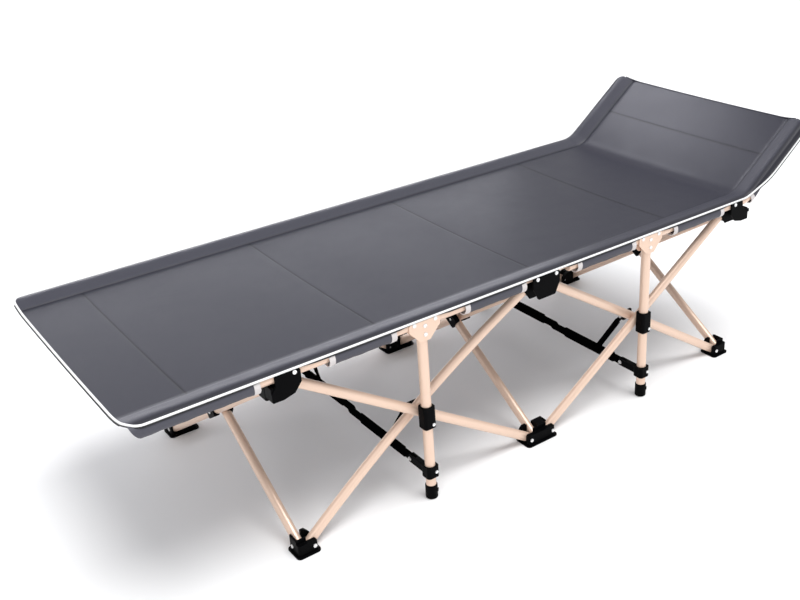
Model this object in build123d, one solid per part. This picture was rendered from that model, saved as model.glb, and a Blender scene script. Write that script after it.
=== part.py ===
from build123d import *
import math
import os

# ---------------------------------------------------------------- driving dimensions (mm)
BAY = 654.0            # spacing of the three foot stations along the bed
RAIL_Y = 325.0         # rail axis to centreline
RAIL_Z = 440.0         # rail pivots above the floor
RAIL_DROP = 4.0        # rail axis below its pivots
FOOT_PIV_Z = 16.0      # lower tube pivots
TOP_PIV_Z = 402.0      # upper tube pivots
CROSS_IN = 31.0        # cross tube pivots, inboard of the rail plane
SIDE_OFF = 33.0        # side tube pivots, from the station toward the bay
SIDE_IN = 25.0         # side tube ends, inboard of the rail plane
BOW = 20.0             # inner side tubes bow inboard by this at their middle
CROSS_X = 10.0         # cross tubes lie this far either side of the station
TUBE_R = 9.5           # scissor tubes are oval: half their width along the pins
TUBE_H = 11.3          # and half their depth across them
POST_R = 11.5          # legs and rails
WALL = 1.2
TUBE_END = 8.0         # tube beyond its end pivot
PIN_R = 3.0
HOLE_R = 3.05          # running fit on a pin
SET_R = 3.02           # fixed fit on a pin
GUSSET_OFF = 26.0      # rail pivots either side of a leg
JOINT_OFF = 27.0       # rail pivot in a rail joint, from the station toward the bay
TAIL_LEN = 295.0       # sheet beyond the tail station
BEND_X = 35.0          # head bend beyond the head station
BEND_R = 80.0
HEAD_LEN = 260.0
HEAD_DEG = 36.5
SHEET_T = 1.2
SLEEVE_R = 11.9        # inside of the sleeves round the rails
SLEEVE_T = 0.9
SHEET_UP = 12.0        # underside of the sheet above the rail axis
CLAMP_Z = 70.0         # spreader pivot on the leg
CLAMP_IN = 64.0        # spreader pivot, inboard of the leg
LUG_IN = 63.0          # strut pivot on the collar, inboard of the leg
LUG_DROP = 5.0         # and below the crossing
FOLDED_RAIL_Y = 72.0   # rail axis to centreline when folded

# ---------------------------------------------------------------- derived
CROSS_Y = RAIL_Y - CROSS_IN
AXIS_Z = RAIL_Z - RAIL_DROP
HALF_H = (TOP_PIV_Z - FOOT_PIV_Z) / 2
R = math.hypot(CROSS_Y, HALF_H)                 # half length of every scissor tube, pivot to crossing
A0 = math.atan2(HALF_H, CROSS_Y)
CX_Z = (TOP_PIV_Z + FOOT_PIV_Z) / 2             # crossing height
AF = math.acos((FOLDED_RAIL_Y - CROSS_IN) / R)
RAIL_ARM = BAY / 2 - GUSSET_OFF - JOINT_OFF
GF = math.acos((SIDE_OFF + R * math.cos(AF) - GUSSET_OFF - JOINT_OFF) / RAIL_ARM)
LIFT = R * (math.sin(AF) - math.sin(A0))
SLIDE = RAIL_ARM * math.sin(GF) - LIFT          # leg travel down through its collar
BAR_LEN = RAIL_Y - CLAMP_IN
PF = math.acos((FOLDED_RAIL_Y - CLAMP_IN) / BAR_LEN)
D0 = CX_Z - LUG_DROP - CLAMP_Z
D1 = D0 + SLIDE
U0 = CLAMP_IN - LUG_IN
STRUT_AT = (D1**2 - D0**2) / (2 * (D1 * math.sin(PF) + U0 * (1 - math.cos(PF))))
STRUT_LEN = math.hypot(U0 + STRUT_AT, D0)
B0 = math.atan2(U0 + STRUT_AT, D0)
BF = math.atan2(U0 + STRUT_AT * math.cos(PF), D1 - STRUT_AT * math.sin(PF))
HA = math.radians(HEAD_DEG)
X_MIN = -(BAY + TAIL_LEN)
X_MAX = BAY + BEND_X + HEAD_LEN * math.cos(HA) - SHEET_UP * math.sin(HA)
X0 = -(X_MIN + X_MAX) / 2                       # puts the bounding box over the origin

STATION = {"tail": -BAY, "mid": 0.0, "head": BAY}
SIDE = {"near": -1, "far": 1}
BAYS = {"tail": -1, "head": 1}                  # which way the bay lies from the middle station

os.makedirs("parts", exist_ok=True)


def save(name, *solids):
    flat = []
    for s in solids:
        flat += list(s.solids())
    shape = flat[0] if len(flat) == 1 else Compound(children=flat)
    shape.label = name
    export_step(shape, f"parts/{name}.step")


class Place:
    """Boxes and pins in a fitting's own terms: u along the bed from xs, d inboard of the rail plane, z up."""

    def __init__(self, xs, sy):
        self.xs, self.sy = xs + X0, sy

    def y(self, d):
        return self.sy * (RAIL_Y - d)

    def box(self, u0, u1, d0, d1, z0, z1):
        y0, y1 = sorted((self.y(d0), self.y(d1)))
        u0, u1 = sorted((u0, u1))
        return Pos(self.xs + (u0 + u1) / 2, (y0 + y1) / 2, (z0 + z1) / 2) * Box(u1 - u0, y1 - y0, z1 - z0)

    def along_x(self, u0, u1, d, z, r):
        u0, u1 = sorted((u0, u1))
        return Pos(self.xs + (u0 + u1) / 2, self.y(d), z) * (Rot(0, 90, 0) * Cylinder(r, u1 - u0))

    def along_y(self, u, d0, d1, z, r):
        y0, y1 = sorted((self.y(d0), self.y(d1)))
        return Pos(self.xs + u, (y0 + y1) / 2, z) * (Rot(90, 0, 0) * Cylinder(r, y1 - y0))

    def along_z(self, u, d, z0, z1, r):
        return Pos(self.xs + u, self.y(d), (z0 + z1) / 2) * Cylinder(r, z1 - z0)


def stud_on_round(p, deg, r0, r1, z, r):
    """A stud set square to a round of the leg, deg from straight outboard toward +X."""
    a = math.radians(deg)
    e = (math.sin(a), p.sy * math.cos(a), 0)
    m = (r0 + r1) / 2
    at = Plane(origin=(p.xs + e[0] * m, p.y(0) + e[1] * m, z), x_dir=(0, 0, 1), z_dir=e)
    return at.location * Cylinder(r, r1 - r0)


def plate_xz(p, outline, d0, d1, r=0.0):
    """A plate standing along the bed, cut to an outline of (u, z) points."""
    face = make_face(Polyline(*outline, close=True))
    plate = extrude(Plane.XZ * face, amount=abs(d1 - d0) / 2, both=True)
    if r:
        plate = fillet(plate.edges().filter_by(Axis.Y), r)
    return Pos(p.xs, p.y((d0 + d1) / 2), 0) * plate


def upright_round(block, r):
    return fillet(block.edges().filter_by(Axis.Z), r)


def headed_x(p, u_head, u_end, d, z, r=PIN_R, head_r=4.4, head=1.8):
    """A rivet along the bed with a head just outside u_head."""
    s = 1 if u_end > u_head else -1
    return p.along_x(u_head, u_end, d, z, r) + p.along_x(u_head - s * head, u_head, d, z, head_r)


def headed_y(p, u, d_head, d_end, z, r=PIN_R, head_r=4.4, head=1.8, both=False):
    """A rivet across the bed with a head just outside d_head."""
    s = 1 if d_end > d_head else -1
    rivet = p.along_y(u, d_head, d_end, z, r) + p.along_y(u, d_head - s * head, d_head, z, head_r)
    if both:
        rivet += p.along_y(u, d_end, d_end + s * 1.3, z, head_r)
    return rivet


# ---------------------------------------------------------------- feet and rail joints
def cross_x(station, side):
    """Where the cross tube that ends at this foot lies, and the one that ends at this rail joint."""
    first = CROSS_X if station == "tail" else -CROSS_X
    return (first, -first) if side == "near" else (-first, first)


def tube_sides(station):
    return {"tail": (1,), "mid": (-1, 1), "head": (-1,)}[station]


def block_span(station, tx, wide):
    sides = tube_sides(station)
    lo, hi = tx - 14.5, tx + 14.5
    if 1 in sides:
        hi = SIDE_OFF + 8
    if -1 in sides:
        lo = -(SIDE_OFF + 8)
    if wide:
        lo, hi = min(lo, -24.5), max(hi, 24.5)
    return lo, hi


def slot_width(station, top):
    """Outboard and inboard edges of the slot a side tube turns in; the bowed ones need a little more."""
    bowed = (station == "mid") == top
    return SIDE_IN - TUBE_R - (1.7 if bowed else 0.7), SIDE_IN + TUBE_R + (2.8 if bowed else 0.7)


def cross_pin(p, station, tx, lo, hi, z):
    """The pin of the cross tube: headed in an outer wall where there is one, else set in the middle of the block."""
    s = 1 if tx > 0 else -1
    free = s in tube_sides(station)
    inner = tx - s * 10
    if free:
        if abs(inner - (lo if s > 0 else hi)) < 8:
            return headed_x(p, lo if s > 0 else hi, tx + s * 9.8, CROSS_IN, z)
        return p.along_x(inner - s * 8, tx + s * 9.8, CROSS_IN, z, PIN_R)
    return headed_x(p, hi if s > 0 else lo, inner - s * 8, CROSS_IN, z)


def make_foot(station, side):
    p = Place(STATION[station], SIDE[side])
    tx, _ = cross_x(station, side)
    lo, hi = block_span(station, tx, False)
    z = FOOT_PIV_Z
    outline = [(lo, 0), (hi, 0)]
    outline += [(hi, 25), (hi - 12, 38)] if 1 in tube_sides(station) else [(hi, 38)]
    outline += [(lo + 12, 38), (lo, 25)] if -1 in tube_sides(station) else [(lo, 38)]
    body = upright_round(plate_xz(p, outline, 3, 46), 6)
    body = chamfer(body.faces().sort_by(Axis.Z)[-1].edges(), 1.5)
    outer, inner = slot_width(station, False)
    body -= p.box(lo - 5, hi + 5, 0, outer, 29, 60)
    body += upright_round(p.box(lo - 5, hi + 5, -2, 50, 0, 3), 9)
    body -= p.box(tx - 10, tx + 10, 17, 49, 3, 60)
    for s in tube_sides(station):
        near_slot = s * tx > 0
        body -= p.box(s * (19 if near_slot else 20.8), s * 60, outer, inner, 3, 60)
        if near_slot:
            body -= p.box(s * 19, s * 21, outer, 60, 3, 60)
    solids = []
    pin = cross_pin(p, station, tx, lo, hi, z)
    body -= cross_bore(p, station, tx, lo, hi, z)
    solids.append(pin)
    for s in tube_sides(station):
        u = s * SIDE_OFF
        body -= p.along_y(u, 3, 46, z, SET_R)
        solids.append(headed_y(p, u, 3, 44, z))
    save(f"floor_foot_{station}_{side}", body, *solids)


def cross_bore(p, station, tx, lo, hi, z):
    s = 1 if tx > 0 else -1
    inner = tx - s * 10
    if s in tube_sides(station):
        if abs(inner - (lo if s > 0 else hi)) < 8:
            return p.along_x((lo if s > 0 else hi) - s * 1, tx + s * 9.9, CROSS_IN, z, SET_R)
        return p.along_x(inner - s * 8, tx + s * 9.9, CROSS_IN, z, SET_R)
    return p.along_x((hi if s > 0 else lo) + s * 1, inner - s * 8, CROSS_IN, z, SET_R)


def make_rail_joint(station, side):
    p = Place(STATION[station], SIDE[side])
    _, tx = cross_x(station, side)
    lo, hi = block_span(station, tx, True)
    z = TOP_PIV_Z
    sides = tube_sides(station)
    outline = [(27, 383), (hi, 405), (hi, 430)] if 1 in sides else [(hi, 383), (hi, 430)]
    outline += [(lo, 430), (lo, 405), (-27, 383)] if -1 in sides else [(lo, 430), (lo, 383)]
    body = upright_round(plate_xz(p, outline, 11.9, 46), 5)
    body += p.box(lo + 5, hi - 5, 11.9, 15.2, 420, 443.5)
    if station == "mid":
        outer_cheek = [(-38, 418), (-38, 443.5), (38, 443.5), (38, 418), (24, 390), (-24, 390)]
        body += p.box(-5, 5, -14, 12.5, 392, 424)
    else:
        b = sides[0]
        reach = -14 if station == "tail" else -2
        outer_cheek = [(b * u, v) for u, v in ((-24.5, 390), (-24.5, 409), (reach, 422), (reach, 443.5), (40, 443.5), (40, 416), (24, 396), (0, 390))]
        body += p.box(-24.5 * b, -4 * b, -14, 12.5, 392, 420)
    body += plate_xz(p, outer_cheek, -16, -11.9, 3)
    body -= p.box(tx - 10, tx + 10, 17, 60, 370, 416.5)
    outer, inner = slot_width(station, True)
    for s in sides:
        near_slot = s * tx > 0
        body -= p.box(s * (19 if near_slot else 20.8), s * 60, outer, inner, 370, 416.5)
        if near_slot:
            body -= p.box(s * 19, s * 21, outer, 60, 370, 416.5)
    if station == "head":
        body += p.box(23, 33, -13, -5, 406, 414)
    solids = []
    body -= cross_bore(p, station, tx, lo, hi, z)
    solids.append(cross_pin(p, station, tx, lo, hi, z))
    for s in sides:
        u = s * SIDE_OFF
        body -= p.along_y(u, 12.8, 47, z, SET_R)
        solids.append(p.along_y(u, 12.9, 45.5, z, PIN_R))
        u = s * JOINT_OFF
        body -= p.along_y(u, -17, -11, RAIL_Z, SET_R)
        solids.append(headed_y(p, u, -16, -12, RAIL_Z))
    save(f"rail_joint_{station}_{side}", body, *solids)


# ---------------------------------------------------------------- scissor tubes
def oval(less=0.0):
    """Section of a scissor tube, its depth along Y."""
    return Rot(0, 0, 90) * SlotCenterToCenter(2 * (TUBE_H - TUBE_R), 2 * (TUBE_R - less))


def straight_tube():
    """Along X, pin bores along Y at both ends and the middle."""
    tube = extrude(Plane.YZ * oval(), amount=R + TUBE_END, both=True)
    tube = fillet(tube.faces().filter_by(Axis.X).edges(), 5.5)
    tube -= extrude(Plane.YZ * oval(WALL), amount=R + 1.5, both=True)
    for u in (-R, 0, R):
        tube -= Pos(u, 0, 0) * (Rot(90, 0, 0) * Cylinder(HOLE_R, 40))
    return tube


def bowed_tube():
    """The same with its middle moved by BOW along Y."""

    def pipe(less, reach):
        x, y = R + reach, -2 * BOW / R * reach
        path = Spline((-x, y, 0), (-R, 0, 0), (0, BOW, 0), (R, 0, 0), (x, y, 0))
        start = Plane(origin=path @ 0, x_dir=(0, 0, 1), z_dir=path % 0)
        return sweep(start * (Rot(0, 0, -90) * oval(less)), path=path)

    tube = pipe(0, TUBE_END)
    tube = chamfer(tube.faces().filter_by(GeomType.PLANE).edges(), 4)
    tube -= pipe(WALL, 4.2)
    for u, y in ((-R, 0), (0, BOW), (R, 0)):
        tube -= Pos(u, y, 0) * (Rot(90, 0, 0) * Cylinder(HOLE_R, 44))
    return tube


def make_cross_tubes(station):
    tube = straight_tube()
    c, s = math.cos(A0), math.sin(A0)
    first = CROSS_X if station == "tail" else -CROSS_X
    for name, x, y_dir in (("a", first, 1), ("b", -first, -1)):
        d = (0, y_dir * c, s)
        z_dir = (0, s, -y_dir * c)
        at = Plane(origin=(STATION[station] + X0 + x, 0, CX_Z), x_dir=d, z_dir=z_dir)
        o = 1 if x > 0 else -1
        clip = Pos(0, o * 6.25, 0) * Box(40, 13.5, 29)
        clip = fillet(clip.edges().filter_by(Axis.Y), 6)
        clip -= extrude(Plane.YZ * oval(-0.15), amount=30, both=True)
        clip -= Rot(90, 0, 0) * Cylinder(SET_R if name == "a" else HOLE_R, 60)
        solids = [at.location * tube, at.location * clip]
        if name == "a":
            far = -o * (2 * CROSS_X + 13.2)
            pin = Pos(0, (o * 13 + far) / 2, 0) * (Rot(90, 0, 0) * Cylinder(PIN_R, abs(o * 13 - far)))
            pin += Pos(0, far - o * 0.8, 0) * (Rot(90, 0, 0) * Cylinder(5, 1.6))
            solids.append(at.location * pin)
        save(f"cross_tube_{station}_{name}", *solids)


def make_side_tubes(bay, side):
    sx, sy = BAYS[bay], SIDE[side]
    c, s = math.cos(A0), math.sin(A0)
    centre = (sx * BAY / 2 + X0, sy * (RAIL_Y - SIDE_IN), CX_Z)
    for kind, up in (("outer", 1), ("inner", -1)):
        d = (sx * c, 0, up * s)
        z_dir = (-up * s, 0, sx * c)              # d x Y
        at = Plane(origin=centre, x_dir=d, z_dir=z_dir)
        tube = straight_tube() if kind == "outer" else Rot(0 if sy < 0 else 180, 0, 0) * bowed_tube()
        save(f"side_tube_{bay}_{side}_{kind}", at.location * tube)


# ---------------------------------------------------------------- collars, legs, spreaders
def make_collar(bay, side):
    p = Place(BAYS[bay] * BAY / 2, SIDE[side])
    t = -1 if side == "near" else 1               # which side the strut lies
    z = CX_Z
    body = upright_round(p.box(-15, 15, -14.8, 14, z - 27, z + 27), 7)
    body = chamfer(body.faces().sort_by(Axis.Z)[-1].edges(), 1.5)
    body = chamfer(body.faces().sort_by(Axis.Z)[0].edges(), 1.5)
    body += p.along_y(0, 14, 15.2, z, 7)
    body -= p.along_z(0, 0, z - 40, z + 40, POST_R + 0.3)
    body -= p.along_y(0, 9, 20, z, SET_R)
    body -= p.along_y(6.5, -20, -8, z - 17, 2.52)
    stud = p.along_y(6.5, -14.8, -11.7, z - 17, 2.5) + p.along_y(6.5, -16.4, -14.8, z - 17, 3.8)
    pin = p.along_y(0, 12.1, 57.5, z, PIN_R)
    zl = z - LUG_DROP
    lug = p.box(-16, 16, 54.9, 57.5, z - 14, z + 12)
    lug = fillet(lug.edges().filter_by(Axis.Y), 5)
    lug += p.box(t * 7, t * 8.6, 57, 68, zl - 7, zl + 7) + p.box(t * 13.4, t * 16, 57, 68, zl - 7, zl + 7)
    lug -= p.along_y(0, 50, 60, z, SET_R)
    lug -= p.along_x(t * 5, t * 20, LUG_IN, zl, 2.52)
    axle = p.along_x(t * 7, t * 16, LUG_IN, zl, 2.5) + p.along_x(t * 16, t * 17.4, LUG_IN, zl, 4)
    save(f"collar_{bay}_{side}", body, pin, lug, axle, stud)


def make_leg(bay, side):
    p = Place(BAYS[bay] * BAY / 2, SIDE[side])
    tube = p.along_z(0, 0, 3, 442, POST_R) - p.along_z(0, 0, 2, 448, POST_R - WALL)
    rivet_z = (432.0, 412.0)
    for z in rivet_z:
        tube -= p.along_y(0, -20, 20, z, HOLE_R)
    solids = []
    outline = [(-38, 426), (-38, 443.5), (38, 443.5), (38, 426), (12, 397), (-12, 397)]
    for d0, d1 in ((-14.0, -11.8), (11.8, 14.0)):
        plate = plate_xz(p, outline, d0, d1, 4)
        for u, z in ((-GUSSET_OFF, RAIL_Z), (GUSSET_OFF, RAIL_Z), (0, rivet_z[0]), (0, rivet_z[1])):
            plate -= p.along_y(u, -20, 20, z, SET_R)
        solids.append(plate)
    for u, z in ((-GUSSET_OFF, RAIL_Z), (GUSSET_OFF, RAIL_Z), (0, rivet_z[0]), (0, rivet_z[1])):
        solids.append(headed_y(p, u, -14.0, 14.0, z, both=True))
    save(f"leg_{bay}_{side}", tube, *solids)


def make_leg_fittings(bay, side):
    p = Place(BAYS[bay] * BAY / 2, SIDE[side])
    t = -1 if side == "near" else 1
    z = CLAMP_Z
    cap = p.along_z(0, 0, 0, 34, 13.8)
    cap = fillet(cap.edges().filter_by(GeomType.CIRCLE), 2)
    cap -= p.along_z(0, 0, 3, 40, POST_R + 0.02)
    cap -= stud_on_round(p, 38, 8, 20, 20, SET_R)
    cap_rivet = stud_on_round(p, 38, 12.2, 14, 20, PIN_R) + stud_on_round(p, 38, 13.0, 15.4, 20, 4.4)
    clamp = upright_round(p.box(-15, 15, -14.8, 14.8, z - 14, z + 14), 7)
    stud = p.along_y(6.5, -14.8, -11.7, z, 2.5) + p.along_y(6.5, -16.4, -14.8, z, 3.8)
    a0, a1, b0, b1 = 0.2, 3.8, 6.2, 10.2
    clamp += p.box(-t * a0, -t * a1, 12, 69, z - 9, z + 9)
    clamp += p.box(t * b0, t * b1, 12, 69, z - 9, z + 9)
    clamp += p.box(-t * a1, t * b1, 12, 48, z - 9, z + 9)
    clamp -= p.along_z(0, 0, z - 30, z + 30, POST_R + 0.02)
    clamp -= p.along_x(-20, 20, CLAMP_IN, z, SET_R)
    clamp -= p.along_y(6.5, -20, -8, z, 2.52)
    axle = headed_x(p, t * b1, -t * a1, CLAMP_IN, z, head=1.5, head_r=5)
    save(f"leg_fittings_{bay}_{side}", cap, cap_rivet - cap, clamp, axle, stud)


def make_spreader(bay, side):
    p = Place(BAYS[bay] * BAY / 2, SIDE[side])
    t = -1 if side == "near" else 1
    x0, x1 = t * 0.7, t * 5.7
    z = CLAMP_Z
    bar = p.box(x0, x1, CLAMP_IN, RAIL_Y, z - 10, z + 10)
    bar += p.along_x(x0, x1, CLAMP_IN, z, 10) + p.along_x(x0, x1, RAIL_Y, z, 10)
    deep = p.box(x0, x1, CLAMP_IN + 28, RAIL_Y - 46, z - 13.5, z + 13.5)
    bar += fillet(deep.edges().filter_by(Axis.X), 3)
    bar -= p.along_x(x0 - t, x1 + t, CLAMP_IN, z, HOLE_R)
    solids = []
    for d in (CLAMP_IN + STRUT_AT, RAIL_Y):
        bar -= p.along_x(x0 - t, x1 + t, d, z, SET_R)
        head = 3.0 if d < RAIL_Y else 1.5
        solids.append(p.along_x(x0, x1, d, z, PIN_R) + p.along_x(x1, x1 + t * head, d, z, 4.5))
    save(f"spreader_{bay}_{side}", bar, *solids)


def make_strut(bay, side):
    p = Place(BAYS[bay] * BAY / 2, SIDE[side])
    t = -1 if side == "near" else 1
    x0, x1 = t * 9, t * 13
    mid = (x0 + x1) / 2
    d = (0, -SIDE[side] * math.sin(B0), -math.cos(B0))
    at = Plane(origin=(p.xs + mid, p.y(LUG_IN), CX_Z - LUG_DROP), x_dir=d, z_dir=(1, 0, 0))
    bar = Pos(STRUT_LEN / 2, 0, 0) * Box(STRUT_LEN, 10, 4)
    bar += Pos(STRUT_LEN / 2, 0, 0) * Box(STRUT_LEN - 44, 14, 4)
    bar += Cylinder(5, 4)
    bar += Pos(STRUT_LEN, 0, 0) * Cylinder(5, 4)
    bar -= Cylinder(2.55, 10)
    bar -= Pos(STRUT_LEN, 0, 0) * Cylinder(2.55, 10)
    save(f"strut_{bay}_{side}", at.location * bar)


# ---------------------------------------------------------------- rails
def rail_tube(p, u0, u1):
    n = u1 - u0
    tube = p.along_x(u0, u1, 0, AXIS_Z, POST_R)
    tube = fillet(tube.edges().filter_by(GeomType.CIRCLE), 3)
    return tube - p.along_x(u0 + 4.5, u1 - 4.5, 0, AXIS_Z, POST_R - WALL)


def head_path(x_from, reach):
    """Rail axis at the head end, from x_from on the flat or on the bend to reach beyond the corner of the bend."""
    xt = BAY + BEND_X - BEND_R * math.tan(HA / 2)

    def on_bend(a):
        return (xt + BEND_R * math.sin(a), AXIS_Z + BEND_R * (1 - math.cos(a)))

    a0 = math.asin(max(0.0, x_from - xt) / BEND_R)
    end = (BAY + BEND_X + reach * math.cos(HA), AXIS_Z + reach * math.sin(HA))
    lines = [ThreePointArc(on_bend(a0), on_bend((a0 + HA) / 2), on_bend(HA)), Line(on_bend(HA), end)]
    if x_from < xt:
        lines.insert(0, Line((x_from, AXIS_Z), on_bend(0)))
    return Plane.XZ * Wire([e for line in lines for e in line.edges()])


def swept(section, path):
    return sweep(Plane(origin=path @ 0, x_dir=(0, 1, 0), z_dir=path % 0) * section, path=path)


RAIL_TAIL = 20.0       # how far the rails stop short of the sheet's ends


def make_rails(side):
    sy = SIDE[side]
    p = Place(0, sy)
    leg = BAY / 2
    # tail end rail and its neighbour
    rail = rail_tube(p, -(BAY + TAIL_LEN) + RAIL_TAIL, -(leg + GUSSET_OFF - 10))
    rail -= p.along_y(-(leg + GUSSET_OFF), -20, 20, RAIL_Z, HOLE_R)
    save(f"rail_tail_{side}", rail)
    for bay, b in BAYS.items():
        inner, stop = leg - GUSSET_OFF + 10, JOINT_OFF + 46
        u0, u1 = sorted((b * inner, b * stop))
        rail = rail_tube(p, u0, u1)
        d0, d1 = (-4.5, -0.6) if b < 0 else (0.6, 4.5)
        tongue = p.box(b * JOINT_OFF, b * (JOINT_OFF + 60), d0, d1, RAIL_Z - 7, RAIL_Z + 7)
        tongue += p.along_y(b * JOINT_OFF, d0, d1, RAIL_Z, 7)
        rail += tongue
        rail -= p.along_y(b * JOINT_OFF, -20, 20, RAIL_Z, HOLE_R)
        rail -= p.along_y(b * (leg - GUSSET_OFF), -20, 20, RAIL_Z, HOLE_R)
        save(f"rail_mid{bay}_{side}", rail)
    # head end rail, bent up
    move = Pos(X0, sy * RAIL_Y, 0)
    start = leg + GUSSET_OFF - 10
    rail = swept(Circle(POST_R), head_path(start, HEAD_LEN - RAIL_TAIL))
    rail = fillet(rail.edges().filter_by(GeomType.CIRCLE).filter_by(lambda e: abs(e.radius - POST_R) < 1e-3 and abs(e.length - 2 * math.pi * POST_R) < 0.1 and (e.center().X < start + 1 or e.center().X > BAY + BEND_X + 100)), 3)
    rail -= swept(Circle(POST_R - WALL), head_path(start + 4.5, HEAD_LEN - RAIL_TAIL - 4.5))
    rail = move * rail
    rail -= p.along_y(leg + GUSSET_OFF, -20, 20, RAIL_Z, HOLE_R)
    save(f"rail_head_{side}", rail)


# ---------------------------------------------------------------- the sheet, in four panels that meet over the fold lines
SLEEVES = {
    "tail": ((-(BAY + TAIL_LEN) + 16, -698.0), (-550.0, -396.0)),
    "midtail": ((-223.0, -58.0),),
    "midhead": ((94.0, 276.0),),
    "head": ((406.0, 585.0),),
}
GAP = 0.25
SHEET_Y = RAIL_Y + SLEEVE_R + SHEET_T
SHEET_Z = AXIS_Z + SHEET_UP
HEAD_SLEEVE = 690.0


def sleeve_section(sy):
    return Pos(sy * RAIL_Y, 0) * (Circle(SLEEVE_R + SLEEVE_T) - Circle(SLEEVE_R))


def make_deck():
    leg = BAY / 2
    spans = {"tail": (X_MIN, -leg - GAP), "midtail": (-leg + GAP, -GAP), "midhead": (GAP, leg - GAP)}
    for name, (u0, u1) in spans.items():
        sheet = Pos((u0 + u1) / 2 + X0, 0, SHEET_Z + SHEET_T / 2) * Box(u1 - u0, 2 * SHEET_Y, SHEET_T)
        if name == "tail":
            sheet = fillet(sheet.edges().filter_by(Axis.Z).sort_by(Axis.X)[:2], 32)
        for s0, s1 in SLEEVES[name]:
            for sy in (-1, 1):
                ring = Rot(0, 90, 0) * (Cylinder(SLEEVE_R + SLEEVE_T, s1 - s0) - Cylinder(SLEEVE_R, s1 - s0 + 2))
                sheet += Pos((s0 + s1) / 2 + X0, sy * RAIL_Y, AXIS_Z) * ring
        save(f"deck_{name}", sheet)
    band = Pos(0, SHEET_UP + SHEET_T / 2) * Rectangle(2 * SHEET_Y, SHEET_T)
    sheet = swept(band, head_path(leg + GAP, HEAD_LEN))
    ends = sheet.edges().filter_by(lambda e: abs(e.length - SHEET_T) < 1e-3 and e.center().X > BAY + BEND_X + 100)
    sheet = fillet(ends, 32)
    for sy in (-1, 1):
        s0, s1 = SLEEVES["head"][0]
        ring = Rot(0, 90, 0) * (Cylinder(SLEEVE_R + SLEEVE_T, s1 - s0) - Cylinder(SLEEVE_R, s1 - s0 + 2))
        sheet += Pos((s0 + s1) / 2, sy * RAIL_Y, AXIS_Z) * ring
        sheet += swept(sleeve_section(sy), head_path(HEAD_SLEEVE, HEAD_LEN - 16))
    save("deck_head", Pos(X0, 0, 0) * sheet)


for station in STATION:
    for side in SIDE:
        make_foot(station, side)
        make_rail_joint(station, side)
    make_cross_tubes(station)
for side in SIDE:
    for bay in BAYS:
        make_side_tubes(bay, side)
        make_collar(bay, side)
        make_leg(bay, side)
        make_leg_fittings(bay, side)
        make_spreader(bay, side)
        make_strut(bay, side)
    make_rails(side)
make_deck()
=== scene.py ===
import math

import bpy
import numpy as np
from mathutils import Matrix, Vector

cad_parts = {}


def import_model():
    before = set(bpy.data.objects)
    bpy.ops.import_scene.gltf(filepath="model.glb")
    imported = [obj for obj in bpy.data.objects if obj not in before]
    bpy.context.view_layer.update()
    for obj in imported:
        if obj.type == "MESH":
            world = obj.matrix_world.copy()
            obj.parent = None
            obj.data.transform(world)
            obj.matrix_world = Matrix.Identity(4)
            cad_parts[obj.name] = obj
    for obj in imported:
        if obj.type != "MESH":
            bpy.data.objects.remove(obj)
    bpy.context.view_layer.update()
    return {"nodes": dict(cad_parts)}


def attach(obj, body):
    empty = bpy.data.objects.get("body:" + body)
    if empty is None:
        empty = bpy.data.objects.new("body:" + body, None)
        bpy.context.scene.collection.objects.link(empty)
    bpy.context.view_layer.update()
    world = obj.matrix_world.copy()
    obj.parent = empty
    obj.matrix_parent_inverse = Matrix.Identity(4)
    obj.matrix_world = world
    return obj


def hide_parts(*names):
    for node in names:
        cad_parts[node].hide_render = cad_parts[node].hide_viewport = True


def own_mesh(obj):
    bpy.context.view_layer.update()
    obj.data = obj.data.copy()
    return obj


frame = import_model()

# ---------------------------------------------------------------- dimensions shared with the part (mm)
BAY, RAIL_Y, RAIL_Z = 654.0, 325.0, 436.0            # RAIL_Z is the rail's axis, 4 below its pivots
TAIL_LEN, BEND_X, BEND_R, HEAD_LEN = 295.0, 35.0, 80.0, 260.0
HA = math.radians(36.5)
X0 = -(-(BAY + TAIL_LEN) + BAY + BEND_X + HEAD_LEN * math.cos(HA) - 12.0 * math.sin(HA)) / 2
XT = BAY + BEND_X - BEND_R * math.tan(HA / 2)          # start of the bend
S_BEND = XT + BEND_R * HA                              # end of the bend, measured along the rail
S_MIN = -(BAY + TAIL_LEN)
S_MAX = S_BEND + HEAD_LEN - BEND_R * math.tan(HA / 2)
LEG = BAY / 2
SPLIT = 14.0                                           # cloth over a leg, either side of it
MID = 38.0                                             # cloth over the middle station, either side of it
CLOTH = 1.0
HEM_IN = 45.0                                          # inner edge of the hem, from the rail axis
CORNER = 32.0
PIPE_R, PIPE_OUT, PIPE_UP = 2.3, 13.4, 10.6
EDGE_Y = RAIL_Y + PIPE_OUT                             # piping to centreline
SEAMS = (-815.0, -408.0, 2.0, 436.0, 823.0)
SLEEVES = {
    "tail": ((-944.0, -698.0), (-550.0, -396.0)),
    "midtail": ((-223.0, -58.0),),
    "midhead": ((94.0, 276.0),),
    "head": ((406.0, 585.0), (691.0, S_MAX - 14)),
}
SIDE = {"near": -1.0, "far": 1.0}


def world(s, y, n):
    """Points in metres: s along the rail, y across the bed, n out of the sheet from the rail axis (mm)."""
    s, y, n = np.broadcast_arrays(np.asarray(s, float), np.asarray(y, float), np.asarray(n, float))
    a = np.clip((s - XT) / BEND_R, 0, HA)
    past = np.maximum(0, s - S_BEND)
    x = np.where(s <= XT, s, XT + BEND_R * np.sin(a) + past * math.cos(HA))
    z = RAIL_Z + BEND_R * (1 - np.cos(a)) + past * math.sin(HA)
    return np.stack([x - n * np.sin(a) + X0, y, z + n * np.cos(a)], -1) / 1000


HEM_D = [-10.5, -7, -3.5, 0, 4, 8, 13, 20, 28, 35, 40, 42, 43.5, 45]
HEM_N = [11.6, 13.0, 13.9, 14.4, 14.5, 14.1, 13.2, 11.4, 9.2, 7.3, 5.8, 4.9, 4.0, 3.4]


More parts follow.
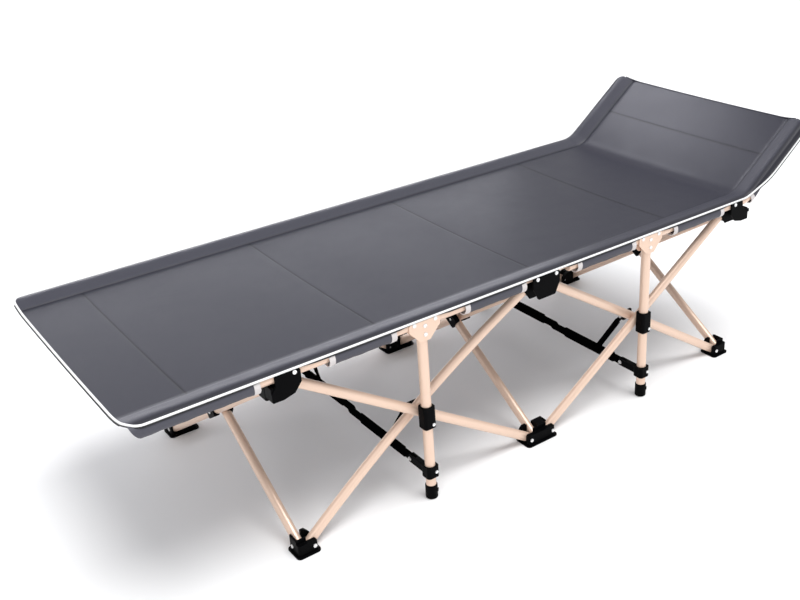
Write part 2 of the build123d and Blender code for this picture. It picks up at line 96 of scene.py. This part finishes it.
def hem_n(d):
    return np.interp(d, HEM_D, HEM_N)


def main_n(d, s=0.0):
    """Top of the main sheet at d inboard of the rail axis; it hangs a little between the rails."""
    d = np.asarray(d, float)
    across = (RAIL_Y - d) / (RAIL_Y - HEM_IN)
    hang = 2.35 - 4.0 * (1 - across**2)
    ripple = 0.35 * np.sin(0.021 * np.asarray(s, float) + 0.9 * across) * (1 - across**2)
    return np.where(d <= HEM_IN, hem_n(d) - CLOTH - 0.05, hang + ripple)


# ---------------------------------------------------------------- materials
def mixed(nodes, links, factor, a, b):
    m = nodes.new("ShaderNodeMix")
    m.data_type = "RGBA"
    if factor is not None:
        links.new(factor, m.inputs[0])
    for socket, value in ((m.inputs[6], a), (m.inputs[7], b)):
        if isinstance(value, (tuple, list)):
            socket.default_value = (*value[:3], 1.0)
        else:
            links.new(value, socket)
    return m


def material(name, colour, rough, metallic=0.0, specular=0.5, vary=0.08, scale=60.0, bump=0.0, bump_scale=400.0,
             rough_vary=0.06, weave=None, mark=None, sheen=0.0, coat=0.0):
    mat = bpy.data.materials.new(name)
    mat.use_nodes = True
    nodes, links = mat.node_tree.nodes, mat.node_tree.links
    nodes.clear()
    out = nodes.new("ShaderNodeOutputMaterial")
    bsdf = nodes.new("ShaderNodeBsdfPrincipled")
    links.new(bsdf.outputs[0], out.inputs[0])
    bsdf.inputs["Metallic"].default_value = metallic
    bsdf.inputs["Specular IOR Level"].default_value = specular
    bsdf.inputs["Sheen Weight"].default_value = sheen
    bsdf.inputs["Coat Weight"].default_value = coat
    coord = nodes.new("ShaderNodeTexCoord")
    noise = nodes.new("ShaderNodeTexNoise")
    noise.inputs["Scale"].default_value = scale
    noise.inputs["Detail"].default_value = 4.0
    links.new(coord.outputs["Object"], noise.inputs["Vector"])
    low = [c * (1 - vary) for c in colour]
    high = [min(1.0, c * (1 + vary)) for c in colour]
    tone = mixed(nodes, links, noise.outputs["Fac"], low, high).outputs[2]
    spread = nodes.new("ShaderNodeMapRange")
    spread.inputs["To Min"].default_value = max(0.02, rough - rough_vary)
    spread.inputs["To Max"].default_value = min(1.0, rough + rough_vary)
    links.new(noise.outputs["Fac"], spread.inputs["Value"])
    links.new(spread.outputs["Result"], bsdf.inputs["Roughness"])
    height = None
    if weave:
        bands = []
        for axis in ("X", "Y"):
            w = nodes.new("ShaderNodeTexWave")
            w.wave_type = "BANDS"
            w.bands_direction = axis
            w.inputs["Scale"].default_value = weave
            w.inputs["Distortion"].default_value = 0.4
            w.inputs["Detail"].default_value = 1.0
            links.new(coord.outputs["Object"], w.inputs["Vector"])
            bands.append(w.outputs["Fac"])
        add = nodes.new("ShaderNodeMath")
        add.operation = "MULTIPLY"
        links.new(bands[0], add.inputs[0])
        links.new(bands[1], add.inputs[1])
        height = add.outputs[0]
        tone = mixed(nodes, links, height, tone, [c * 1.06 for c in colour]).outputs[2]
    elif bump:
        fine = nodes.new("ShaderNodeTexNoise")
        fine.inputs["Scale"].default_value = bump_scale
        fine.inputs["Detail"].default_value = 3.0
        links.new(coord.outputs["Object"], fine.inputs["Vector"])
        height = fine.outputs["Fac"]
    if mark is not None:
        attr = nodes.new("ShaderNodeAttribute")
        attr.attribute_name = "mark"
        tone = mixed(nodes, links, attr.outputs["Fac"], tone, mark).outputs[2]
    links.new(tone, bsdf.inputs["Base Color"])
    if height is not None and bump:
        b = nodes.new("ShaderNodeBump")
        b.inputs["Strength"].default_value = bump
        b.inputs["Distance"].default_value = 0.0006
        links.new(height, b.inputs["Height"])
        links.new(b.outputs["Normal"], bsdf.inputs["Normal"])
    return mat


DECK = material("cloth_deck", (0.027, 0.027, 0.039), 0.35, specular=0.30, vary=0.05, scale=18.0, weave=520.0, bump=0.10, mark=(0.004, 0.004, 0.006))
# the hem is the deck's cloth with a lighter base colour: painted light for the sheen on its raised roll. Its mark
# darkens the seam at its inner edge and paints shade on the strip outboard of the rail's crest
HEM = material("cloth_hem", (0.045, 0.045, 0.060), 0.38, specular=0.30, vary=0.06, scale=22.0, weave=520.0, bump=0.10, mark=(0.013, 0.013, 0.018))
SLEEVE = material("cloth_sleeve", (0.066, 0.066, 0.083), 0.50, specular=0.3, vary=0.10, scale=35.0, weave=520.0, bump=0.12, mark=(0.04, 0.04, 0.05))
PIPING = material("piping_white", (0.80, 0.80, 0.80), 0.55, vary=0.03, scale=160.0, bump=0.10, bump_scale=900.0)
BINDING = material("binding_white", (0.62, 0.585, 0.58), 0.65, vary=0.04, scale=120.0, bump=0.15, bump_scale=800.0)
# painted shadow: a black bead under the piping stands for the shade beneath the piping and the hem's rolled edge
SHADOW_BEAD = material("shadow_bead_black", (0.010, 0.010, 0.012), 0.70, vary=0.25, scale=90.0, bump=0.1, bump_scale=900.0)
TUBE = material("tube_champagne", (0.80, 0.59, 0.465), 0.33, metallic=0.25, specular=0.5, vary=0.03, scale=9.0, rough_vary=0.03, coat=0.1)
PLATE = material("plate_champagne", (0.80, 0.59, 0.465), 0.36, metallic=0.35, vary=0.05, scale=25.0)
STEEL = material("rivet_steel", (0.82, 0.82, 0.82), 0.28, metallic=0.7, vary=0.06, scale=240.0)
BLACK = material("moulding_black", (0.0020, 0.0020, 0.0024), 0.42, specular=0.03, vary=0.25, scale=70.0, bump=0.06, bump_scale=1400.0)
BAR = material("bar_black", (0.0014, 0.0014, 0.0016), 0.50, specular=0.0, vary=0.25, scale=50.0, bump=0.04, bump_scale=1200.0)
FLOOR = material("floor_pale", (0.88, 0.88, 0.88), 0.75, specular=0.1, vary=0.01, scale=1.2)

# ---------------------------------------------------------------- frame nodes: one finish for each separate solid in a node


def solids_of(mesh):
    """A label for every face: faces that share a corner point belong to one solid."""
    n = len(mesh.vertices)
    co = np.zeros(n * 3)
    mesh.vertices.foreach_get("co", co)
    _, same = np.unique(np.round(co.reshape(-1, 3), 6), axis=0, return_inverse=True)
    same = same.ravel()
    root = list(range(int(same.max()) + 1))

    def find(i):
        while root[i] != i:
            root[i] = root[root[i]]
            i = root[i]
        return i

    faces = [[same[v] for v in p.vertices] for p in mesh.polygons]
    for f in faces:
        a = find(f[0])
        for v in f[1:]:
            root[find(v)] = a
    return [find(f[0]) for f in faces], co.reshape(-1, 3)


def finish_node(obj, main):
    mesh = obj.data
    labels, co = solids_of(mesh)
    spans = {}
    for p, k in zip(mesh.polygons, labels):
        pts = co[list(p.vertices)]
        lo, hi = spans.get(k, (pts.min(0), pts.max(0)))
        spans[k] = (np.minimum(lo, pts.min(0)), np.maximum(hi, pts.max(0)))
    mats = [main, STEEL, BLACK, PLATE]
    mesh.materials.clear()
    for m in mats:
        mesh.materials.append(m)
    pick = {}
    for k, (lo, hi) in spans.items():
        size = np.sort((hi - lo) * 1000)
        if size[1] <= 10.6 and main is not BAR:
            pick[k] = 1                                # a rivet or a pin
        elif main is TUBE and size[0] < 3.0:
            pick[k] = 3                                # a gusset plate
        elif main is TUBE and size[2] < 60:
            pick[k] = 2                                # a clip or its pin
        else:
            pick[k] = 0
    mesh.polygons.foreach_set("material_index", [pick[k] for k in labels])
    mesh.update()


for name, obj in frame["nodes"].items():
    if name.startswith("deck_"):
        continue
    if name.startswith(("floor_foot", "rail_joint", "collar", "leg_fittings")):
        finish_node(obj, BLACK)
    elif name.startswith(("spreader", "strut")):
        finish_node(obj, BAR)
    else:
        finish_node(obj, TUBE)


# ---------------------------------------------------------------- cloth pieces
class Piece:
    """A mesh made of closed islands, each with its own material and a mark value per point."""

    def __init__(self):
        self.v, self.f, self.m, self.mark = [], [], [], []

    def _add(self, pts, faces, mat, mark):
        p = np.asarray(pts, float)
        vol = 0.0
        for f in faces:
            for k in range(1, len(f) - 1):
                vol += float(np.dot(p[f[0]], np.cross(p[f[k]], p[f[k + 1]])))
        if vol < 0:
            faces = [f[::-1] for f in faces]
        base = len(self.v)
        self.v += [tuple(q) for q in p]
        self.f += [tuple(base + i for i in f) for f in faces]
        self.m += [mat] * len(faces)
        self.mark += list(mark)

    def slab(self, top, bottom, mat, mark=None):
        """A thin closed sheet between two grids of points."""
        ni, nj = top.shape[:2]
        idx = np.arange(ni * nj).reshape(ni, nj)
        low = idx + ni * nj
        faces = []
        for i in range(ni - 1):
            for j in range(nj - 1):
                faces.append((idx[i, j], idx[i + 1, j], idx[i + 1, j + 1], idx[i, j + 1]))
                faces.append((low[i, j], low[i, j + 1], low[i + 1, j + 1], low[i + 1, j]))
        for i in range(ni - 1):
            faces.append((idx[i, 0], low[i, 0], low[i + 1, 0], idx[i + 1, 0]))
            faces.append((idx[i, nj - 1], idx[i + 1, nj - 1], low[i + 1, nj - 1], low[i, nj - 1]))
        for j in range(nj - 1):
            faces.append((idx[0, j], idx[0, j + 1], low[0, j + 1], low[0, j]))
            faces.append((idx[ni - 1, j], low[ni - 1, j], low[ni - 1, j + 1], idx[ni - 1, j + 1]))
        mk = np.zeros((ni, nj)) if mark is None else np.broadcast_to(mark, (ni, nj))
        pts = np.concatenate([top.reshape(-1, 3), bottom.reshape(-1, 3)])
        self._add(pts, [tuple(int(i) for i in f) for f in faces], mat, np.concatenate([mk.ravel(), mk.ravel()]))

    def rod(self, rings, mat):
        """A solid bead through closed rings of points."""
        ni, nj = rings.shape[:2]
        idx = np.arange(ni * nj).reshape(ni, nj)
        faces = [(idx[i, j], idx[i + 1, j], idx[i + 1, (j + 1) % nj], idx[i, (j + 1) % nj]) for i in range(ni - 1) for j in range(nj)]
        faces += [tuple(idx[0, ::-1]), tuple(idx[-1])]
        self._add(rings.reshape(-1, 3), [tuple(int(i) for i in f) for f in faces], mat, np.zeros(ni * nj))

    def shell(self, outer, inner, mat, mark=None):
        """A loop of cloth with a thickness: closed in the second index, open at its two ends."""
        ni, nj = outer.shape[:2]
        idx = np.arange(ni * nj).reshape(ni, nj)
        low = idx + ni * nj
        faces = []
        for i in range(ni - 1):
            for j in range(nj):
                k = (j + 1) % nj
                faces.append((idx[i, j], idx[i + 1, j], idx[i + 1, k], idx[i, k]))
                faces.append((low[i, j], low[i, k], low[i + 1, k], low[i + 1, j]))
        for j in range(nj):
            k = (j + 1) % nj
            faces.append((idx[0, j], idx[0, k], low[0, k], low[0, j]))
            faces.append((idx[-1, j], low[-1, j], low[-1, k], idx[-1, k]))
        mk = np.zeros((ni, nj)) if mark is None else np.broadcast_to(mark, (ni, nj))
        pts = np.concatenate([outer.reshape(-1, 3), inner.reshape(-1, 3)])
        self._add(pts, [tuple(int(i) for i in f) for f in faces], mat, np.concatenate([mk.ravel(), mk.ravel()]))

    def object(self, name):
        mesh = bpy.data.meshes.new(name)
        mesh.from_pydata(self.v, [], self.f)
        mats = []
        for m in self.m:
            if m not in mats:
                mats.append(m)
        for m in mats:
            mesh.materials.append(m)
        mesh.polygons.foreach_set("material_index", [mats.index(m) for m in self.m])
        mesh.polygons.foreach_set("use_smooth", [True] * len(self.f))
        mesh.set_sharp_from_angle(angle=math.radians(40))
        a = mesh.attributes.new("mark", "FLOAT", "POINT")
        a.data.foreach_set("value", np.asarray(self.mark, np.float32))
        mesh.update()
        obj = bpy.data.objects.new(name, mesh)
        bpy.context.scene.collection.objects.link(obj)
        return obj


def stops(s0, s1, step, extra=()):
    """Positions from s0 to s1, about step apart, with lines beside every seam."""
    base = list(np.linspace(s0, s1, max(2, int(round((s1 - s0) / step)) + 1)))
    for e in extra:
        if s0 + 6 < e < s1 - 6:
            base = [b for b in base if abs(b - e) > 6]
            base += [e - 5, e - 2.2, e - 0.9, e, e + 0.9, e + 2.2, e + 5]
    if s1 > XT and s0 < S_BEND:
        base += list(np.linspace(max(s0, XT), min(s1, S_BEND), 9))
    base = sorted(base)
    kept = [base[0]]
    for b in base[1:]:
        if b - kept[-1] > 0.4:
            kept.append(b)
    kept[-1] = s1
    return np.array(kept)


def seam_mark(s):
    near = np.min(np.abs(np.asarray(s)[:, None] - np.array(SEAMS)[None, :]), axis=1)
    return np.clip(1.0 - near / 4.5, 0, 1)


ACROSS = np.concatenate([np.linspace(25, 45, 5), np.linspace(57, RAIL_Y, 23)])


def panel(piece, sy, s0, s1, drop=0.0, seams=True):
    s = stops(s0, s1, 14.0, SEAMS if seams else ())
    mk = seam_mark(s) if seams else np.zeros(len(s))
    d = ACROSS[None, :]
    n = main_n(d, s[:, None]) - drop - 0.35 * mk[:, None] ** 2 * (d > HEM_IN)
    y = sy * (RAIL_Y - d)
    top = world(s[:, None], y, n)
    bottom = world(s[:, None], y, n - CLOTH)
    piece.slab(top, bottom, DECK, 0.7 * mk[:, None] * np.ones_like(d))


def wrapped(s):
    """How far the edge is drawn down round the rail: nowhere on the flat, fully on the raised head."""
    t = np.clip((np.asarray(s, float) - (S_BEND - 25)) / 110, 0, 1)
    return t * t * (3 - 2 * t)


HEM_AT = np.array([-10.5, -9, -7.5, -6, -4, -2, 0, 2, 4, 6, 8, 10.5, 13, 16, 20, 24, 28, 32, 36, 39, 40.5, 42, 43.5, 45])


def hem(piece, sy, s0, s1, drop=0.0, corner=None):
    t = stops(s0, s1, 12.0)
    shape = (len(t), len(HEM_AT))
    s = np.broadcast_to(t[:, None], shape)
    d = np.broadcast_to(HEM_AT[None, :], shape)
    n = hem_n(d)
    under_d, under_n = d, n - CLOTH
    # mark: a dark seam line at the hem's inner edge, and painted shade on the strip outboard of the rail's crest,
    # where the hem turns away from the light
    mark = np.exp(-(((HEM_AT - 43.0) / 1.6) ** 2)) * 0.6 + np.clip((2.5 - HEM_AT) / 6.0, 0, 1) * 0.72
    mark = np.broadcast_to(mark[None, :], shape)
    if corner == "head":
        first = math.atan2(10.5, HEM_N[0])
        last = math.radians(47) + math.radians(62) * wrapped(t)
        th = first + (last - first)[:, None] * np.linspace(1, 1 / 7, 7)[None, :]
        r = math.hypot(10.5, HEM_N[0])
        s = np.broadcast_to(t[:, None], (len(t), len(HEM_AT) + 7))
        d = np.concatenate([-r * np.sin(th), d], 1)
        n = np.concatenate([r * np.cos(th), n], 1)
        under_d = np.concatenate([-(r - CLOTH) * np.sin(th), under_d], 1)
        under_n = np.concatenate([(r - CLOTH) * np.cos(th), under_n], 1)
        # painted shade: on the raised head the edge drawn down round the rail is fully darkened
        mark = np.concatenate([np.full(th.shape, 0.72), mark], 1)
    out = np.maximum(0, (RAIL_Y - d) - (EDGE_Y - CORNER))
    inset = CORNER - np.sqrt(np.maximum(0, CORNER**2 - out**2))
    if corner == "tail":
        s = s + inset * np.clip((s1 - s) / (s1 - s0), 0, 1) ** 6
    elif corner == "head":
        s = s - inset * np.clip((s - s0) / (s1 - s0), 0, 1) ** 6
    wave = 0.12 * np.sin(0.05 * s + 0.2 * d) - drop
    piece.slab(world(s, sy * (RAIL_Y - d), n + wave), world(s, sy * (RAIL_Y - under_d), under_n + wave), HEM, mark)


def bead(piece, centres, mat, r=PIPE_R, sides=12):
    """A round bead through points (metres), of one radius or a radius at each point."""
    c = np.asarray(centres, float)
    r = np.broadcast_to(np.asarray(r, float), (len(c),))[:, None, None]
    along = np.gradient(c, axis=0)
    along /= np.linalg.norm(along, axis=1)[:, None]
    up = np.array([0.0, 0.0, 1.0])
    side = np.cross(along, up)
    side /= np.linalg.norm(side, axis=1)[:, None]
    lift = np.cross(side, along)
    a = np.linspace(0, 2 * math.pi, sides, endpoint=False)
    rings = c[:, None, :] + r / 1000 * (np.cos(a)[None, :, None] * side[:, None, :] + np.sin(a)[None, :, None] * lift[:, None, :])
    piece.rod(rings, mat)


def edge_line(sy, s0, s1, corner):
    """s, y and n of the piping along one side, round its end corners where it has them."""
    pts = []
    if corner == "tail":
        for a in np.linspace(math.pi / 2, 0, 9)[:-1]:
            pts.append((S_MIN + CORNER - CORNER * math.sin(a), EDGE_Y - CORNER + CORNER * math.cos(a)))
        start = S_MIN + CORNER
    else:
        start = s0
    end = S_MAX - CORNER if corner == "head" else s1
    pts += [(s, EDGE_Y) for s in stops(start, end, 16.0)]
    if corner == "head":
        for a in np.linspace(0, math.pi / 2, 9)[1:]:
            pts.append((S_MAX - CORNER + CORNER * math.sin(a), EDGE_Y - CORNER + CORNER * math.cos(a)))
    s = np.array([p[0] for p in pts])
    y = np.array([p[1] for p in pts])
    d = RAIL_Y - y
    n = np.where(d < -10.5, PIPE_UP, hem_n(np.maximum(d, -10.5)) - 0.6)
    n = np.where((d < -10.5) & (d > -13.3), np.interp(d, [-13.3, -10.5], [PIPE_UP, 11.5]), n)
    if corner == "head":
        r, first = math.hypot(PIPE_OUT, PIPE_UP), math.atan2(PIPE_OUT, PIPE_UP)
        th = first + math.radians(62) * wrapped(s)
        left = np.clip((y - (EDGE_Y - CORNER)) / CORNER, 0, 1)
        left = left * left * (3 - 2 * left)
        y = y + left * (RAIL_Y + r * np.sin(th) - EDGE_Y)
        n = n + left * (r * np.cos(th) - PIPE_UP)
    return s, sy * y, n


def near_plate(s):
    """1 where the plates of a station or a leg stand close under the piping."""
    at = np.array([-BAY, 0, BAY]), np.array([-LEG, LEG])
    a = np.min(np.abs(s[:, None] - at[0][None, :]), axis=1)
    b = np.min(np.abs(s[:, None] - at[1][None, :]), axis=1)
    return np.maximum(np.clip((62 - a) / 10, 0, 1), np.clip((52 - b) / 10, 0, 1))


def edging(piece, sy, s0, s1, corner=None):
    s, y, n = edge_line(sy, s0, s1, corner)
    bead(piece, world(s, y, n), PIPING)
    close = near_plate(s)
    rim = np.interp(close, [0, 1], [2.0, 0.75])
    down = np.interp(close, [0, 1], [3.5, 1.7])
    # painted shadow: a black bead just under the piping, thinner and less low where plates stand close under it
    bead(piece, world(s, y + sy * 0.3, n - down), SHADOW_BEAD, r=rim, sides=10)


def sleeve_r(theta, s):
    low = (1 - np.cos(theta)) / 2 * (1 - wrapped(s + 25))
    wave = 0.40 * np.sin(0.085 * s + 1.7 * theta) + 0.30 * np.sin(0.19 * s - 1.1 * theta + 0.8)
    return 12.7 + 6.6 * low**1.25 + wave * low


def sleeve(piece, sy, s0, s1, ends):
    t = np.linspace(0, 1, max(6, int((s1 - s0) / 9)))
    theta = np.linspace(0, 2 * math.pi, 36, endpoint=False)
    low = (1 - np.cos(theta)) / 2
    first = s0 + (30.0 * (1 - np.sqrt(1 - 0.97 * low**2)) if ends == "tail" else 0 * low)
    last = s1 - (30.0 * (1 - np.sqrt(1 - 0.97 * low**2)) if ends == "head" else 0 * low)
    s = first[None, :] + t[:, None] * (last - first)[None, :]
    th = np.broadcast_to(theta[None, :], s.shape)
    r = sleeve_r(th, s)

    def ring(s, th, r):
        return world(s, sy * (RAIL_Y + r * np.sin(th)), r * np.cos(th))

    mark = np.broadcast_to((np.exp(-(((theta - math.pi) / 0.18) ** 2)) * 0.5)[None, :], s.shape)
    piece.shell(ring(s, th, r), ring(s, th, r - 0.9), SLEEVE, mark)
    for e, inward in ((s0, 1), (s1, -1)):
        if (ends == "tail" and e == s0) or (ends == "head" and e == s1):
            continue
        sb = e + inward * np.linspace(-0.6, 12, 5)
        sb = np.broadcast_to(sb[:, None], (5, 36))
        tb = np.broadcast_to(theta[None, :], sb.shape)
        rb = sleeve_r(tb, sb)
        low_b = (1 - np.cos(tb)) / 2
        piece.shell(ring(sb, tb, rb + 0.05 + 0.75 * np.minimum(1, 2 * low_b)), ring(sb, tb, rb - 0.95), BINDING)


def foot_edge(piece, sy):
    """Piping along half of the foot edge, with a black bead under it that paints the shadow beneath the piping;
    both are part of the sheet's mesh.
    """
    y = np.linspace(0, EDGE_Y - CORNER, 25)
    d = RAIL_Y - y
    n = np.where(d <= HEM_IN, hem_n(d) - 0.6, main_n(d) + 0.4)
    n = np.where((d > HEM_IN - 8) & (d < HEM_IN + 20), np.interp(d, [HEM_IN - 8, HEM_IN + 20], [hem_n(HEM_IN - 8) - 0.6, float(main_n(HEM_IN + 20)) + 0.4]), n)
    s = np.full_like(y, S_MIN)
    bead(piece, world(s, sy * y, n), PIPING)
    # painted shadow under the foot piping: a black bead
    bead(piece, world(s - 1.6, sy * y, n - 3.4), SHADOW_BEAD, r=2.4, sides=10)


def head_edge(piece, sy):
    """A narrow rolled edge along half of the head end."""
    y = np.linspace(0, EDGE_Y - CORNER, 25)
    d = RAIL_Y - y
    n = np.where(d <= HEM_IN, hem_n(d) - 0.6, main_n(d, S_MAX) + 0.1)
    n = np.where((d > HEM_IN - 8) & (d < HEM_IN + 20), np.interp(d, [HEM_IN - 8, HEM_IN + 20], [hem_n(HEM_IN - 8) - 0.6, float(main_n(HEM_IN + 20, S_MAX)) + 0.1]), n)
    s = np.full_like(y, S_MAX)
    bead(piece, world(s, sy * y, n), HEM, r=1.6, sides=10)


BANDS = (
    ("tail", S_MIN, -LEG - SPLIT, "rail_tail", "deck_tail"),
    ("legtail", -LEG - SPLIT, -LEG + SPLIT, "leg_tail", None),
    ("midtail", -LEG + SPLIT, -MID, "rail_midtail", "deck_midtail"),
    ("mid", -MID, MID, "joint_mid", None),
    ("midhead", MID, LEG - SPLIT, "rail_midhead", "deck_midhead"),
    ("leghead", LEG - SPLIT, LEG + SPLIT, "leg_head", None),
    ("head", LEG + SPLIT, S_MAX, "rail_head", "deck_head"),
)

for side, sy in SIDE.items():
    for name, s0, s1, body, stands_for in BANDS:
        corner = name if name in ("tail", "head") else None
        main = Piece()
        panel(main, sy, s0, s1)
        if name == "tail":
            foot_edge(main, sy)
        if name == "head":
            head_edge(main, sy)
        if name == "midtail":
            panel(main, sy, -MID - 1, -20.0, drop=1.4, seams=False)
        if name == "midhead":
            panel(main, sy, 20.0, MID + 1, drop=1.4, seams=False)
        sheet = main.object(f"sheet_{name}_{side}")
        edge = Piece()
        hem(edge, sy, s0, s1, corner=corner)
        if name == "midtail":
            hem(edge, sy, -MID - 1, -20.0, drop=1.3)
        if name == "midhead":
            hem(edge, sy, 20.0, MID + 1, drop=1.3)
        edging(edge, sy, s0, s1, corner)
        for a, b in SLEEVES.get(name, ()):
            ends = "tail" if a < -940 else "head" if b > S_MAX - 20 else None
            sleeve(edge, sy, a, b, ends)
        border = edge.object(f"border_{name}_{side}")
        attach(sheet, f"{body}_{side}")
        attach(border, f"{body}_{side}")
        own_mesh(sheet)
        if stands_for:
            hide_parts(stands_for)

# ---------------------------------------------------------------- floor, light, camera
floor_mesh = bpy.data.meshes.new("floor")
grid = np.linspace(-14, 14, 15)
floor_mesh.from_pydata([(x, y, -0.0005) for x in grid for y in grid], [],
                       [(i * 15 + j, (i + 1) * 15 + j, (i + 1) * 15 + j + 1, i * 15 + j + 1) for i in range(14) for j in range(14)])
floor_mesh.materials.append(FLOOR)
floor = bpy.data.objects.new("floor", floor_mesh)
bpy.context.scene.collection.objects.link(floor)

scene = bpy.context.scene
world_light = bpy.data.worlds.new("studio")
scene.world = world_light
world_light.use_nodes = True
world_light.node_tree.nodes["Background"].inputs[0].default_value = (0.97, 0.98, 1.0, 1.0)
world_light.node_tree.nodes["Background"].inputs[1].default_value = 0.60


def area(name, at, to, size, size_y, power, colour=(1, 1, 1)):
    light = bpy.data.lights.new(name, "AREA")
    light.shape = "RECTANGLE"
    light.size, light.size_y = size, size_y
    light.energy = power
    light.color = colour
    obj = bpy.data.objects.new(name, light)
    obj.location = at
    obj.rotation_mode = "QUATERNION"
    obj.rotation_quaternion = (Vector(to) - Vector(at)).to_track_quat("-Z", "Y")
    scene.collection.objects.link(obj)
    return obj


sun = bpy.data.lights.new("overhead", "SUN")
sun.energy = 2.8
sun.angle = math.radians(40)
sun_obj = bpy.data.objects.new("overhead", sun)
sun_obj.location = (0, 0, 4)
sun_obj.rotation_euler = (math.radians(13), math.radians(8), 0)
scene.collection.objects.link(sun_obj)
area("back", (-0.2, 1.2, 0.63), (-0.2, 0.0, 0.44), 2.8, 0.2, 8.2, (0.93, 0.93, 1.0)).visible_camera = False
head_light = area("head", (0.86, 0.83, 1.30), (0.93, 0.24, 0.72), 0.45, 0.45, 0.32, (0.93, 0.93, 1.0))
head_light.visible_camera = False
head_light.data.spread = math.radians(34)
area("front", (-3.0, -2.6, 1.9), (0, 0, 0.25), 1.6, 1.6, 28.0).visible_camera = False

FOCAL, PPX, PPY = 1038.62, 460.7, 296.3                # pixels of an 800 x 600 picture
AT = ((-1362.4 + X0) / 1000, -1.88905, 1.4071)
AZ, EL, ROLL = math.radians(36.05), math.radians(26.11), math.radians(-2.58)
look = Vector((math.sin(AZ) * math.cos(EL), math.cos(AZ) * math.cos(EL), -math.sin(EL)))
right = look.cross(Vector((0, 0, 1))).normalized()
up = right.cross(look)
right, up = math.cos(ROLL) * right + math.sin(ROLL) * up, -math.sin(ROLL) * right + math.cos(ROLL) * up
camera = bpy.data.cameras.new("camera")
camera.sensor_width = 36.0
camera.lens = FOCAL / 800 * 36.0
camera.shift_x = (400 - PPX) / 800
camera.shift_y = (PPY - 300) / 800
camera.clip_start, camera.clip_end = 0.05, 60.0
camera_obj = bpy.data.objects.new("camera", camera)
camera_obj.matrix_world = Matrix((
    (right.x, up.x, -look.x, AT[0]),
    (right.y, up.y, -look.y, AT[1]),
    (right.z, up.z, -look.z, AT[2]),
    (0, 0, 0, 1),
))
scene.collection.objects.link(camera_obj)
scene.camera = camera_obj
scene.view_settings.view_transform = "Standard"
scene.view_settings.look = "None"
